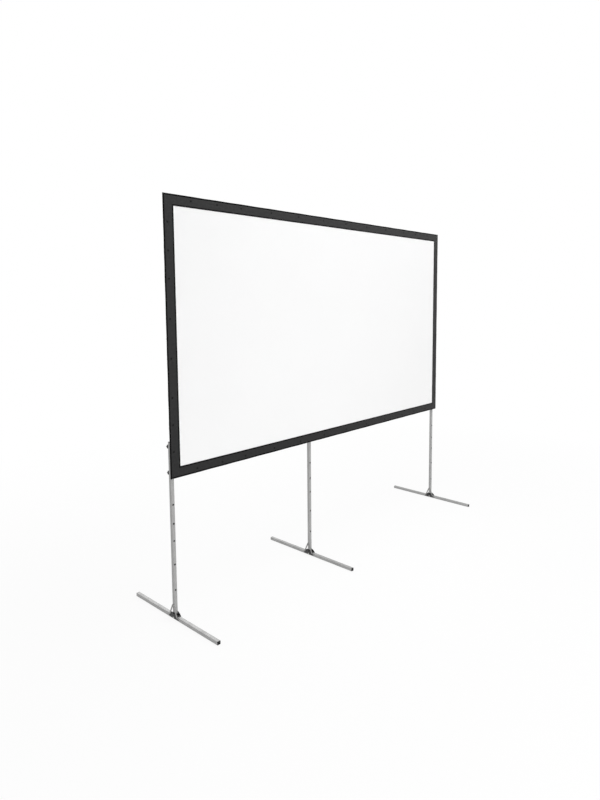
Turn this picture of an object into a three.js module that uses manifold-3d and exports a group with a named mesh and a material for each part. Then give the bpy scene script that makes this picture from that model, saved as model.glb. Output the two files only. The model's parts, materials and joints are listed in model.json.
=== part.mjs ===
// A fast-fold projection screen: a cloth with a snap border on a folding frame of square aluminium
// tube, bolted to three T legs with folding feet. Millimetres, Z up, front towards negative Y,
// origin on the floor under the middle of the screen.
import * as THREE from 'three';
import { mergeVertices } from 'three/addons/utils/BufferGeometryUtils.js';
import Module from 'manifold-3d';

const wasm = await Module();
wasm.setup();

// Driving dimensions
const pictureWidth = 4064;
const pictureHeight = 2286;
const borderWidth = 100;
const floorClearance = 1318;
const footLength = 1300;
const tubeSize = 32;
const tubeWall = 2;
const tubeRadius = 3;
const tubeArcSteps = 2;
const smallRoundSides = 8;
const roundSides = 12;
const notchSides = 24;
const slotArcSteps = 5;
const seatGap = 0.3;
const cutOverrun = 5;
const joinOverlap = 0.5;

// Frame
const railInset = 40;
const cornerArm = 340;
const railSectionCount = 4;
const middleLegOffset = -380;
const hingeAxisOffset = 6;
const hingeLeafThickness = 3;
const hingeLeafWidth = 24;
const hingeLeafStart = 6;
const hingeLeafEnd = 46;
const knuckleRadius = 5;
const knuckleBore = 2.5;
const tongueWidth = 7.8;
const pinRadius = 2.2;
const pinHeadRadius = 3.6;
const pinHeadThickness = 1.2;

// Cloth and its press studs
const clothThickness = 1.5;
const sheetOverlap = 20;
const studHeight = 1.2;
const studRadius = 5;
const studSides = 6;
const socketSides = 7;
const socketRadius = 8;
const socketHeight = 1.5;
const longCornerPitch = 275;
const shortCornerPitch = 241;
const cornerStudCount = 3;
const longMiddleGapCount = 7;
const shortMiddleGapCount = 3;

// Legs
const postTopAboveRail = 285;
const armBoltShare = 0.7;
const postHoleRadius = 5.5;
const postHoleHeights = [275, 515, 735, 895, 1070];
const pivotGap = 1.5;
const pivotRadius = 5;
const pivotHeadRadius = 9;
const pivotHeadThickness = 6;
const pivotCrownShare = 0.6;
const pivotClearance = 0.4;
const bracketThickness = 3;
const bracketHalfWidth = 72;
const bracketFoot = 8;
const bracketCrown = 13.2;
const bracketArcSteps = 11;
const bracketWebStart = 26;
const bracketWebEnd = 55;
const footBoltRadius = 4;
const footBoltHeadRadius = 7;
const footBoltHeadThickness = 3;
const footBoltClearance = 0.4;
const capThickness = 3;
const capPlugLength = 14;
const stayThickness = 3;
const stayWidth = 14;
const stayHoleRadius = 3.3;
const stayTop = 80;
const stayTopSpread = 8;
const stayFootSpread = 62;
const stayFootHeight = 22;
const stayPlay = 0.6;
const staySlotHalf = 3.8;
const staySlotRearShare = -0.32;
const staySlotFrontShare = 0.14;
const rivetRadius = 3;
const rivetShoulderRadius = 6;
const rivetHeadRadius = 5;
const rivetHeadThickness = 1.5;
const rivetSides = 10;

// Hand knobs
const knobRadius = 20;
const knobLobe = 2.6;
const knobLobeCount = 6;
const knobLobeSteps = 4;
const knobThickness = 16;
const knobCollarRadius = 10;
const knobCollarLength = 8;
const knobStudRadius = 4;
const knobStudReach = 12;
const knobHoleRadius = 4.5;

// Worked out from the sizes above
const clothWidth = pictureWidth + 2 * borderWidth;
const clothHeight = pictureHeight + 2 * borderWidth;
const halfTube = tubeSize / 2;
const innerTube = tubeSize - 2 * tubeWall;
const sideX = clothWidth / 2 - railInset;
const topZ = clothHeight - railInset;
const lowerHingeZ = cornerArm;
const upperHingeZ = clothHeight - cornerArm;
const middleHingeZ = clothHeight / 2;
const sectionLength = clothWidth / railSectionCount;
const hingeAxis = halfTube + hingeAxisOffset;
const frameY = -(tubeSize + seatGap);
const borderY = -(halfTube + studHeight + seatGap);
const pivotZ = tubeSize + seatGap + bracketThickness + pivotGap + halfTube;
const postTop = floorClearance + railInset + postTopAboveRail;
const railBoltZ = floorClearance + railInset;
const armBoltZ = railBoltZ + cornerArm * armBoltShare;
const plateInner = halfTube + seatGap;
const plateOuter = plateInner + bracketThickness;
const stayInner = plateOuter + stayPlay;
const stayOuter = stayInner + stayThickness;
const stayFootDrop = pivotZ - stayFootHeight;

const finish = {
  tube: { color: 0xa9abab, roughness: 0.42, metalness: 0.85 },
  steel: { color: 0xb9bbbc, roughness: 0.3, metalness: 0.95 },
  dark: { color: 0x1b1c1d, roughness: 0.5, metalness: 0.5 },
  plastic: { color: 0x141414, roughness: 0.6, metalness: 0 },
  white: { color: 0xf4f4f2, roughness: 0.85, metalness: 0 },
  black: { color: 0x222224, roughness: 0.8, metalness: 0 },
};

const axisX = new THREE.Vector3(1, 0, 0);
const axisY = new THREE.Vector3(0, 1, 0);
const axisZ = new THREE.Vector3(0, 0, 1);
const down = axisZ.clone().negate();
const inwards = { left: axisX, right: axisX.clone().negate() };
const outwards = { left: inwards.right, right: axisX };

// Solids from closed geometries, and back

function solid(geometry) {
  const bare = geometry.clone();
  for (const name of Object.keys(bare.attributes)) {
    if (name !== 'position') bare.deleteAttribute(name);
  }
  const merged = mergeVertices(bare);
  return new wasm.Manifold(new wasm.Mesh({
    numProp: 3,
    vertProperties: new Float32Array(merged.attributes.position.array),
    triVerts: new Uint32Array(merged.index.array),
  }));
}

function geometryOf(body) {
  const mesh = body.getMesh();
  const geometry = new THREE.BufferGeometry();
  geometry.setAttribute('position', new THREE.BufferAttribute(mesh.vertProperties, 3));
  geometry.setIndex(new THREE.BufferAttribute(mesh.triVerts, 1));
  return geometry;
}

function join(...geometries) {
  return geometryOf(geometries.map(solid).reduce((all, one) => all.add(one)));
}

function cut(geometry, ...tools) {
  return geometryOf(tools.map(solid).reduce((body, tool) => body.subtract(tool), solid(geometry)));
}

// Shapes and simple forms, each placed where it belongs

function roundedSquare(size, radius) {
  const half = size / 2;
  const shape = new THREE.Shape();
  shape.moveTo(half - radius, -half);
  shape.absarc(half - radius, radius - half, radius, -Math.PI / 2, 0);
  shape.absarc(half - radius, half - radius, radius, 0, Math.PI / 2);
  shape.absarc(radius - half, half - radius, radius, Math.PI / 2, Math.PI);
  shape.absarc(radius - half, radius - half, radius, Math.PI, 1.5 * Math.PI);
  return shape;
}

function squarePath(size) {
  const half = size / 2;
  return new THREE.Path([[-half, -half], [-half, half], [half, half], [half, -half]]
    .map(([x, y]) => new THREE.Vector2(x, y)));
}

// An extrusion along an axis, from one place on it to another, round the point at centre
function extruded(shape, axis, from, to, centre = [0, 0, 0], curveSegments = tubeArcSteps) {
  const geometry = new THREE.ExtrudeGeometry(shape, {
    depth: to - from, bevelEnabled: false, curveSegments,
  });
  geometry.translate(0, 0, from);
  const turns = {
    x: new THREE.Matrix4().makeBasis(axisY, axisZ, axisX),
    y: new THREE.Matrix4().makeBasis(axisZ, axisX, axisY),
    z: new THREE.Matrix4(),
  };
  geometry.applyMatrix4(turns[axis]);
  geometry.translate(...centre);
  return geometry;
}

function squareTube(axis, from, to, centre) {
  const shape = roundedSquare(tubeSize, tubeRadius);
  shape.holes.push(squarePath(innerTube));
  return extruded(shape, axis, from, to, centre);
}

function rod(axis, from, to, radius, centre, sides = smallRoundSides) {
  const geometry = new THREE.CylinderGeometry(radius, radius, to - from, sides);
  geometry.translate(0, (from + to) / 2, 0);
  const turns = {
    x: new THREE.Matrix4().makeBasis(axisY, axisX, axisZ.clone().negate()),
    y: new THREE.Matrix4(),
    z: new THREE.Matrix4().makeBasis(axisX, axisZ, axisY.clone().negate()),
  };
  geometry.applyMatrix4(turns[axis]);
  geometry.translate(...centre);
  return geometry;
}

function block(x, y, z) {
  const geometry = new THREE.BoxGeometry(x[1] - x[0], y[1] - y[0], z[1] - z[0]);
  geometry.translate((x[0] + x[1]) / 2, (y[0] + y[1]) / 2, (z[0] + z[1]) / 2);
  return geometry;
}

function mesh(name, geometry, look) {
  const shown = geometry.index ? geometry.toNonIndexed() : geometry;
  shown.computeVertexNormals();
  const one = new THREE.Mesh(shown, new THREE.MeshStandardMaterial(finish[look]));
  one.name = name;
  return one;
}

function place(group, name, geometry, look, x = 0, y = 0, z = 0) {
  const one = mesh(name, geometry, look);
  one.position.set(x, y, z);
  group.add(one);
}

// Frame hinges. One half in its own frame: the joint is at z 0, the tube that carries it lies
// towards positive z, its face is at x 0 and the pin runs along y, outside the face.

function hingeHalf(kind) {
  const half = hingeLeafWidth / 2;
  const tongue = tongueWidth / 2;
  const spans = kind === 'tongue'
    ? [[-tongue, tongue]]
    : [[-half, -tongue - seatGap], [tongue + seatGap, half]];
  const leaf = block([-joinOverlap, hingeLeafThickness], [-half, half], [hingeLeafStart, hingeLeafEnd]);
  const parts = [leaf];
  for (const span of spans) {
    parts.push(rod('y', ...span, knuckleRadius, [hingeAxisOffset, 0, 0]));
    parts.push(block([seatGap, hingeLeafThickness], span, [0, hingeLeafStart + joinOverlap]));
  }
  return parts;
}

function hingeBore() {
  const reach = hingeLeafWidth / 2 + cutOverrun;
  return rod('y', -reach, reach, knuckleBore, [hingeAxisOffset, 0, 0]);
}

// Lays a hinge part on a tube: out is the face's normal, along points from the joint into the tube
function onTube(geometry, out, along, centre) {
  const across = new THREE.Vector3().crossVectors(along, out);
  const turn = new THREE.Matrix4().makeBasis(out, across, along);
  geometry.applyMatrix4(turn);
  geometry.translate(...centre.clone().addScaledVector(out, halfTube).toArray());
  return geometry;
}

function pinGeometry() {
  const half = hingeLeafWidth / 2 + seatGap;
  const end = half + pinHeadThickness;
  const profile = [[0, -half], [pinRadius, -half], [pinRadius, half], [pinHeadRadius, half],
    [pinHeadRadius, end], [0, end]];
  return new THREE.LatheGeometry(profile.map(([r, y]) => new THREE.Vector2(r, y)), smallRoundSides);
}

// Press studs: places along a side, the corner pitch first and the rest shared out evenly

function studPlaces(length, cornerPitch, middleGaps) {
  const near = Array.from({ length: cornerStudCount }, (_, i) => (i + 1) * cornerPitch);
  const first = cornerStudCount * cornerPitch;
  const gap = (length - 2 * first) / middleGaps;
  const middle = Array.from({ length: middleGaps - 1 }, (_, i) => first + (i + 1) * gap);
  return [...near, ...middle, ...near.map((place) => length - place).reverse()];
}

const longStuds = studPlaces(clothWidth, longCornerPitch, longMiddleGapCount)
  .map((at) => at - clothWidth / 2);
const shortStuds = studPlaces(clothHeight, shortCornerPitch, shortMiddleGapCount);

function studRod(x, z) {
  return rod('y', -studHeight - halfTube, joinOverlap - halfTube, studRadius, [x, 0, z], studSides);
}

// Frame members. Each is drawn from its own corner or lower end, and placed in the frame's axes:
// x from the middle, z from the cloth's lower edge.

const jointHalfGap = seatGap / 2;

function hinged(tube, ends, extras = []) {
  const parts = [tube, ...extras];
  const bores = [];
  for (const { kind, out, along, at } of ends) {
    parts.push(...hingeHalf(kind).map((piece) => onTube(piece, out, along, at)));
    bores.push(onTube(hingeBore(), out, along, at));
  }
  return cut(join(...parts), ...bores);
}

function railSection(from, to, kinds) {
  const length = to - from;
  const studs = longStuds.filter((x) => x > from && x < to).map((x) => studRod(x - from, 0));
  const ends = [
    { kind: kinds[0], out: down, along: axisX, at: new THREE.Vector3() },
    { kind: kinds[1], out: down, along: axisX.clone().negate(), at: new THREE.Vector3(length, 0, 0) },
  ];
  const tube = squareTube('x', jointHalfGap, length - jointHalfGap, [0, 0, 0]);
  return hinged(tube, ends, studs);
}

function sideHalf(side, lowZ, highZ) {
  const length = highZ - lowZ;
  const studs = shortStuds.filter((z) => z > lowZ && z < highZ).map((z) => studRod(0, z - lowZ));
  const isLower = highZ === middleHingeZ;
  const ends = [
    { kind: 'tongue', out: isLower ? inwards[side] : outwards[side], along: axisZ,
      at: new THREE.Vector3() },
    { kind: isLower ? 'fork' : 'tongue', out: isLower ? outwards[side] : inwards[side], along: down,
      at: new THREE.Vector3(0, 0, length) },
  ];
  return hinged(squareTube('z', jointHalfGap, length - jointHalfGap, [0, 0, 0]), ends, studs);
}

// A square tube that runs along x, turns through a mitre at the origin and ends along z. The runs
// are signed, so one function makes all four corners.
function mitredTube(railRun, armRun) {
  const handX = Math.sign(railRun);
  const handZ = Math.sign(armRun);
  const outline = roundedSquare(tubeSize, tubeRadius).getPoints(tubeArcSteps).slice(0, -1);
  const bore = squarePath(innerTube).getPoints();
  const ring = [...outline, ...bore];
  const stations = [
    (p) => [railRun, p.x, handZ * p.y],
    (p) => [handX * p.y, p.x, handZ * p.y],
    (p) => [handX * p.y, p.x, armRun],
  ];
  const positions = stations.flatMap((station) => ring.flatMap(station));
  const index = [];
  const wall = (start, count) => {
    for (let s = 0; s < stations.length - 1; s += 1) {
      for (let i = 0; i < count; i += 1) {
        const a = s * ring.length + start + i;
        const b = s * ring.length + start + ((i + 1) % count);
        index.push(a, b, b + ring.length, a, b + ring.length, a + ring.length);
      }
    }
  };
  wall(0, outline.length);
  wall(outline.length, bore.length);
  const last = (stations.length - 1) * ring.length;
  for (const [a, b, c] of THREE.ShapeUtils.triangulateShape(outline, [bore])) {
    index.push(a, c, b);
    index.push(last + a, last + b, last + c);
  }
  const geometry = new THREE.BufferGeometry();
  geometry.setAttribute('position', new THREE.Float32BufferAttribute(positions, 3));
  geometry.setIndex(handX * handZ > 0 ? index.reverse() : index);
  return geometry;
}

// A welded corner: a rail section and an upright arm, mitred into each other
function corner(side, level) {
  const handX = side === 'left' ? 1 : -1;
  const handZ = level === 'bottom' ? 1 : -1;
  const railRun = handX * (sideX - (railSectionCount / 2 - 1) * sectionLength);
  const armRun = handZ * (cornerArm - railInset);
  const tube = mitredTube(railRun - handX * jointHalfGap, armRun - handZ * jointHalfGap);
  const onRail = longStuds.filter((x) => Math.abs(x) > sectionLength && x * handX < 0);
  const onArm = shortStuds.filter((z) => (level === 'bottom' ? z < lowerHingeZ : z > upperHingeZ));
  const studs = [
    ...onRail.map((x) => studRod(x + handX * sideX, 0)),
    ...onArm.map((z) => studRod(0, z - (level === 'bottom' ? railInset : topZ))),
  ];
  const ends = [
    { kind: 'fork', out: down, along: axisX.clone().multiplyScalar(-handX),
      at: new THREE.Vector3(railRun, 0, 0) },
    { kind: 'fork', out: inwards[side], along: axisZ.clone().multiplyScalar(-handZ),
      at: new THREE.Vector3(0, 0, armRun) },
  ];
  return hinged(tube, ends, studs);
}

// Holes in the frame for the knobs' threaded ends, through the rear wall only
function knobBore(x, z) {
  return rod('y', halfTube - tubeWall - seatGap, halfTube + cutOverrun, knobHoleRadius, [x, 0, z]);
}

const legPlaces = { left: -sideX, middle: middleLegOffset, right: sideX };

const frame = new THREE.Group();
frame.position.set(0, frameY, floorClearance);
for (const side of ['left', 'right']) {
  const x = legPlaces[side];
  const bottom = cut(corner(side, 'bottom'), knobBore(0, 0), knobBore(0, armBoltZ - railBoltZ));
  place(frame, `bottom_corner_${side}`, bottom, 'tube', x, 0, railInset);
  place(frame, `top_corner_${side}`, corner(side, 'top'), 'tube', x, 0, topZ);
  const lower = sideHalf(side, lowerHingeZ, middleHingeZ);
  place(frame, `side_lower_${side}`, lower, 'tube', x, 0, lowerHingeZ);
  const upper = sideHalf(side, middleHingeZ, upperHingeZ);
  place(frame, `side_upper_${side}`, upper, 'tube', x, 0, middleHingeZ);
  const innerX = x + inwards[side].x * hingeAxis;
  const outerX = x + outwards[side].x * hingeAxis;
  place(frame, `${side}_pin_lower`, pinGeometry(), 'steel', innerX, 0, lowerHingeZ);
  place(frame, `${side}_pin_middle`, pinGeometry(), 'steel', outerX, 0, middleHingeZ);
  place(frame, `${side}_pin_upper`, pinGeometry(), 'steel', innerX, 0, upperHingeZ);
}
for (const [level, z] of [['bottom', railInset], ['top', topZ]]) {
  const left = railSection(-sectionLength, 0, ['tongue', 'fork']);
  const bored = level === 'bottom' ? cut(left, knobBore(middleLegOffset + sectionLength, 0)) : left;
  place(frame, `${level}_rail_left`, bored, 'tube', -sectionLength, 0, z);
  const right = railSection(0, sectionLength, ['tongue', 'tongue']);
  place(frame, `${level}_rail_right`, right, 'tube', 0, 0, z);
  for (const [name, x] of [['left', -sectionLength], ['middle', 0], ['right', sectionLength]]) {
    place(frame, `${level}_pin_${name}`, pinGeometry(), 'steel', x, 0, z - hingeAxis);
  }
}

// Cloth: the black border with its snap sockets, and the white sheet welded behind it

function rectangle(width, height) {
  const half = width / 2;
  return [[-half, 0], [half, 0], [half, height], [-half, height]]
    .map(([x, z]) => new THREE.Vector2(x, z));
}

// An upright sheet with its back at y 0
function upright(shape) {
  const geometry = new THREE.ExtrudeGeometry(shape, { depth: clothThickness, bevelEnabled: false });
  geometry.rotateX(Math.PI / 2);
  return geometry;
}

function borderGeometry() {
  const shape = new THREE.Shape(rectangle(clothWidth, clothHeight));
  const opening = rectangle(pictureWidth, pictureHeight);
  shape.holes.push(new THREE.Path(opening.map((p) => p.clone().add(new THREE.Vector2(0, borderWidth)))));
  const front = clothThickness + socketHeight;
  const back = joinOverlap - clothThickness;
  const socket = (x, z) => rod('y', -front, back, socketRadius, [x, 0, z], socketSides);
  const sockets = [
    ...longStuds.flatMap((x) => [socket(x, railInset), socket(x, topZ)]),
    ...shortStuds.flatMap((z) => [socket(-sideX, z), socket(sideX, z)]),
  ];
  return join(upright(shape), ...sockets);
}

const cloth = new THREE.Group();
cloth.position.set(0, frameY + borderY, floorClearance);
place(cloth, 'border', borderGeometry(), 'black');
const sheetWidth = pictureWidth + 2 * sheetOverlap;
const sheetHeight = pictureHeight + 2 * sheetOverlap;
const sheetShape = new THREE.Shape(rectangle(sheetWidth, sheetHeight));
const sheetZ = borderWidth - sheetOverlap;
place(cloth, 'projection_surface', upright(sheetShape), 'white', 0, clothThickness + seatGap, sheetZ);

// T legs, each in its own axes: origin on the floor under the post

function postGeometry(withArmBolt) {
  const bottom = pivotZ - halfTube;
  const end = cut(
    block([-tubeSize, tubeSize], [-tubeSize, tubeSize], [bottom - cutOverrun, pivotZ]),
    rod('x', -tubeSize - cutOverrun, tubeSize + cutOverrun, halfTube, [0, 0, pivotZ], notchSides),
  );
  const through = (z, radius) => rod('y', -tubeSize, tubeSize, radius, [0, 0, z]);
  const holes = postHoleHeights.map((z) => through(z, postHoleRadius));
  holes.push(through(railBoltZ, knobHoleRadius));
  if (withArmBolt) holes.push(through(armBoltZ, knobHoleRadius));
  holes.push(rod('x', -tubeSize, tubeSize, pivotRadius + pivotClearance, [0, 0, pivotZ], roundSides));
  const tube = squareTube('z', bottom, postTop - capThickness - seatGap, [0, 0, 0]);
  const rivets = [-stayTopSpread, stayTopSpread]
    .flatMap((y) => shoulderRivet(halfTube, y, pivotZ + stayTop));
  return join(cut(tube, end, ...holes), ...rivets);
}

// A shoulder rivet on the left face of a wall that ends at depth, for a stay to hang on
function shoulderRivet(depth, y, z) {
  const seat = [0, y, z];
  const head = stayOuter + seatGap;
  const shoulder = depth === halfTube ? rivetShoulderRadius : rivetRadius;
  return [
    rod('x', seatGap - stayInner, joinOverlap - depth, shoulder, seat, rivetSides),
    rod('x', -head - joinOverlap, joinOverlap - depth, rivetRadius, seat),
    rod('x', -head - rivetHeadThickness, -head, rivetHeadRadius, seat),
  ];
}

function capGeometry() {
  const plate = extruded(roundedSquare(tubeSize, tubeRadius), 'z', 0, capThickness);
  const core = new THREE.Shape(squarePath(innerTube - 2 * seatGap).getPoints());
  const plug = extruded(core, 'z', -capPlugLength, joinOverlap);
  return join(plate, plug);
}

function footBarGeometry(end) {
  const seat = [0, 0, halfTube];
  const bore = rod('x', -tubeSize, tubeSize, footBoltRadius + footBoltClearance, seat);
  return cut(squareTube('y', -end, end, seat), bore);
}

// Two half-moon cheeks outside the foot bar, held by two webs across its top and by a bolt through
// the bar, whose two heads are closed down on the cheeks
function bracketGeometry() {
  const rise = pivotZ + bracketCrown - bracketFoot;
  const radius = (bracketHalfWidth ** 2 + rise ** 2) / (2 * rise);
  const centreZ = bracketFoot + rise - radius;
  const tilt = Math.asin((bracketFoot - centreZ) / radius);
  const moon = new THREE.Shape();
  moon.absarc(0, centreZ, radius, tilt, Math.PI - tilt);
  moon.closePath();
  const footBolt = rod('x', -plateOuter, plateOuter, footBoltRadius, [0, 0, halfTube]);
  const webHalf = plateOuter - joinOverlap;
  const webZ = tubeSize + seatGap;
  const parts = [footBolt];
  for (const hand of [-1, 1]) {
    const xs = [hand * plateInner, hand * plateOuter].sort((a, b) => a - b);
    parts.push(extruded(moon, 'x', ...xs, [0, 0, 0], bracketArcSteps));
    const ys = [hand * bracketWebStart, hand * bracketWebEnd].sort((a, b) => a - b);
    parts.push(block([-webHalf, webHalf], ys, [webZ, webZ + bracketThickness]));
    parts.push(...shoulderRivet(plateOuter, hand * stayFootSpread, stayFootHeight));
    const heads = [hand * webHalf, hand * (plateOuter + footBoltHeadThickness)].sort((a, b) => a - b);
    parts.push(rod('x', ...heads, footBoltHeadRadius, [0, 0, halfTube]));
  }
  const reach = plateOuter + cutOverrun;
  const bore = rod('x', -reach, reach, pivotRadius + pivotClearance, [0, 0, pivotZ], roundSides);
  return cut(join(...parts), bore);
}

function boltGeometry() {
  const seat = plateOuter + seatGap;
  const end = seat + pivotHeadThickness;
  const crown = pivotHeadRadius * pivotCrownShare;
  const profile = [[0, -end], [crown, -end], [pivotHeadRadius, -seat - pivotHeadThickness / 2],
    [pivotHeadRadius, -seat], [pivotRadius, -seat], [pivotRadius, seat], [pivotHeadRadius, seat],
    [pivotHeadRadius, end], [0, end]];
  const geometry = new THREE.LatheGeometry(profile.map(([r, y]) => new THREE.Vector2(r, y)), roundSides);
  geometry.rotateZ(-Math.PI / 2);
  return geometry;
}

// A flat stay with a round eye at its top and a hooked slot at its foot, drawn upright from its eye
// and then leaned to its stud. sign is +1 for the rear stay and -1 for the front one.
function stayGeometry(sign, slotShare) {
  const reachY = stayFootSpread - stayTopSpread;
  const reachZ = stayTop + stayFootDrop;
  const length = Math.hypot(reachY, reachZ);
  const half = stayWidth / 2;
  const shape = new THREE.Shape();
  shape.absarc(0, 0, half, 0, Math.PI);
  shape.absarc(0, -length, half, Math.PI, 2 * Math.PI);
  shape.closePath();
  const eye = new THREE.Path().absarc(0, 0, stayHoleRadius, 0, 2 * Math.PI);
  shape.holes.push(eye);
  const run = stayWidth;
  const slot = new THREE.Shape();
  slot.moveTo(0, -length - staySlotHalf);
  slot.absarc(0, -length, staySlotHalf, -Math.PI / 2, Math.PI / 2);
  slot.lineTo(-run, -length + staySlotHalf - slotShare * run);
  slot.lineTo(-run, -length - staySlotHalf - slotShare * run);
  const here = [0, 0, 0];
  const plate = extruded(shape, 'x', -stayOuter, -stayInner, here, slotArcSteps);
  const notch = extruded(slot, 'x', -stayOuter - cutOverrun, cutOverrun - stayInner, here, slotArcSteps);
  const stay = cut(plate, notch);
  if (sign < 0) {
    stay.applyMatrix4(new THREE.Matrix4().makeScale(1, -1, 1));
    const index = stay.index.array;
    for (let i = 0; i < index.length; i += 3) [index[i], index[i + 1]] = [index[i + 1], index[i]];
  }
  stay.rotateX(sign * Math.atan2(reachY, reachZ));
  return stay;
}

function knobGeometry() {
  const outline = new THREE.Shape();
  const steps = knobLobeCount * knobLobeSteps;
  for (let i = 0; i < steps; i += 1) {
    const turn = (2 * Math.PI * i) / steps;
    const radius = knobRadius - knobLobe + knobLobe * Math.cos(knobLobeCount * turn);
    const point = [radius * Math.cos(turn), radius * Math.sin(turn)];
    if (i === 0) outline.moveTo(...point);
    else outline.lineTo(...point);
  }
  const collarStart = halfTube + seatGap;
  const headStart = collarStart + knobCollarLength;
  const star = extruded(outline, 'y', headStart, headStart + knobThickness);
  const collar = rod('y', collarStart, headStart + joinOverlap, knobCollarRadius, [0, 0, 0], roundSides);
  const studEnd = -halfTube - knobStudReach;
  const stud = rod('y', studEnd, collarStart + joinOverlap, knobStudRadius, [0, 0, 0]);
  return join(star, collar, stud);
}

const legs = new THREE.Group();
for (const [name, x] of Object.entries(legPlaces)) {
  const leg = new THREE.Group();
  leg.position.set(x, 0, 0);
  const atEnd = name !== 'middle';
  place(leg, `post_${name}`, postGeometry(atEnd), 'tube');
  place(leg, `post_cap_${name}`, capGeometry(), 'plastic', 0, 0, postTop - capThickness);
  const footEnd = footLength / 2 - capThickness - seatGap;
  place(leg, `foot_bar_${name}`, footBarGeometry(footEnd), 'tube');
  for (const [end, turn] of [['front', Math.PI / 2], ['rear', -Math.PI / 2]]) {
    const cap = capGeometry();
    cap.rotateX(turn);
    const y = (end === 'front' ? -1 : 1) * (footLength / 2 - capThickness);
    place(leg, `foot_cap_${end}_${name}`, cap, 'plastic', 0, y, halfTube);
  }
  place(leg, `foot_bracket_${name}`, bracketGeometry(), 'dark');
  place(leg, `foot_pivot_bolt_${name}`, boltGeometry(), 'dark', 0, 0, pivotZ);
  const stayZ = pivotZ + stayTop;
  const stayFront = stayGeometry(-1, staySlotFrontShare);
  const stayRear = stayGeometry(1, staySlotRearShare);
  place(leg, `stay_front_${name}`, stayFront, 'steel', 0, -stayTopSpread, stayZ);
  place(leg, `stay_rear_${name}`, stayRear, 'steel', 0, stayTopSpread, stayZ);
  place(leg, `rail_knob_${name}`, knobGeometry(), 'plastic', 0, 0, railBoltZ);
  if (atEnd) place(leg, `arm_knob_${name}`, knobGeometry(), 'plastic', 0, 0, armBoltZ);
  legs.add(leg);
}

const screen = new THREE.Group();
screen.add(frame, cloth, legs);

export default screen;
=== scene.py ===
import json
import math

import bmesh
import bpy
from mathutils import Matrix, Vector


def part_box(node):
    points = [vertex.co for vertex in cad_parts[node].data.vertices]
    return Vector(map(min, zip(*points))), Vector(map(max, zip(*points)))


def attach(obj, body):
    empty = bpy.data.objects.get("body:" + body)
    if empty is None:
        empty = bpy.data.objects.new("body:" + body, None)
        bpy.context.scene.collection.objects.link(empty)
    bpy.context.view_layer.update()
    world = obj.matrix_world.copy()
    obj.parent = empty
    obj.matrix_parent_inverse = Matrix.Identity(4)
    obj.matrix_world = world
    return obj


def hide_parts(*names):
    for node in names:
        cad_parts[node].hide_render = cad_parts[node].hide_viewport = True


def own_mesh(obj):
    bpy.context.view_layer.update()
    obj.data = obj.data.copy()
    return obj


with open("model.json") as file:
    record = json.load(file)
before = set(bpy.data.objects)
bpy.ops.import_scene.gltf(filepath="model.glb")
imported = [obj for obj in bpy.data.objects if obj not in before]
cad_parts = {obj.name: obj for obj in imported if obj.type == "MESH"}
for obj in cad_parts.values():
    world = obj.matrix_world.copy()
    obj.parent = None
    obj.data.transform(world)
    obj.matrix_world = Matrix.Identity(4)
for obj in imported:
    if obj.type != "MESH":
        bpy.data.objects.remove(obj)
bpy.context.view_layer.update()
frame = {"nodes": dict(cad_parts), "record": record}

# Camera. It stands to the left of the screen and in front of it, at about three quarters of the
# height of the top edge, and looks slightly down along the row of legs. The image is 600 by 800.
IMAGE_HEIGHT = 800
SENSOR = 36
EYE = Vector((-4.920, -4.620, 2.940))
AZIMUTH, ELEVATION, ROLL = (math.radians(angle) for angle in (51.53, -5.28, 0.25))
FOCAL_PIXELS = 584
CENTRE_OFFSET_PIXELS = (80, -50)

forward = Vector((
    math.sin(AZIMUTH) * math.cos(ELEVATION),
    math.cos(AZIMUTH) * math.cos(ELEVATION),
    math.sin(ELEVATION),
))
level_right = Vector((math.cos(AZIMUTH), -math.sin(AZIMUTH), 0))
level_up = level_right.cross(forward)
right = math.cos(ROLL) * level_right + math.sin(ROLL) * level_up
up = right.cross(forward)
camera = bpy.data.objects.new("camera", bpy.data.cameras.new("camera"))
camera.matrix_world = Matrix.Translation(EYE) @ Matrix((right, up, -forward)).transposed().to_4x4()
camera.data.sensor_width = SENSOR
camera.data.lens = FOCAL_PIXELS * SENSOR / IMAGE_HEIGHT
camera.data.shift_x = -CENTRE_OFFSET_PIXELS[0] / IMAGE_HEIGHT
camera.data.shift_y = CENTRE_OFFSET_PIXELS[1] / IMAGE_HEIGHT
bpy.context.scene.collection.objects.link(camera)
bpy.context.scene.camera = camera

# Square tube: posts, feet and the whole folding frame are drawn from one satin aluminium section,
# 32 mm square, with fine die lines along its length and duller patches where it was handled.
TUBE_COLOURS = ((0.31, 0.31, 0.308, 1), (0.44, 0.44, 0.436, 1))
TUBE_METAL = 0.3
TUBE_ROUGHNESS = (0.36, 0.52)
DIE_LINES_PER_METRE = 900
DIE_LINE_RUN = 1.5
DIE_LINE_HEIGHT = 0.00004
DIE_LINE_TONE = (0.55, 1.0)
PATCHES_PER_METRE = 9
PATCH_TONE = (0.6, 1.0)
SOFT_EDGE = 0.0004
SAME_PLACE = 0.000002
SIDE_LINE = 2.092
RAIL_LINES = (1.358, 3.764)
CRISP_TURN = math.radians(30)
body_of_node = {
    node: body
    for body, nodes in frame["record"]["behaviour"]["bodies"].items()
    for node in nodes
}


def new_finish(name, colour, roughness, metal=0.0):
    """A material with these plain values, its shader and the tree that patterns are added to."""
    finish = bpy.data.materials.new(name)
    finish.use_nodes = True
    tree = finish.node_tree
    shader = tree.nodes["Principled BSDF"]
    shader.inputs["Base Color"].default_value = colour
    shader.inputs["Roughness"].default_value = roughness
    shader.inputs["Metallic"].default_value = metal
    return finish, tree, shader


def feed(tree, socket, value):
    """Sets an input, or links it where the value is another node's output."""
    if isinstance(value, bpy.types.NodeSocket):
        tree.links.new(value, socket)
    else:
        socket.default_value = value


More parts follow.
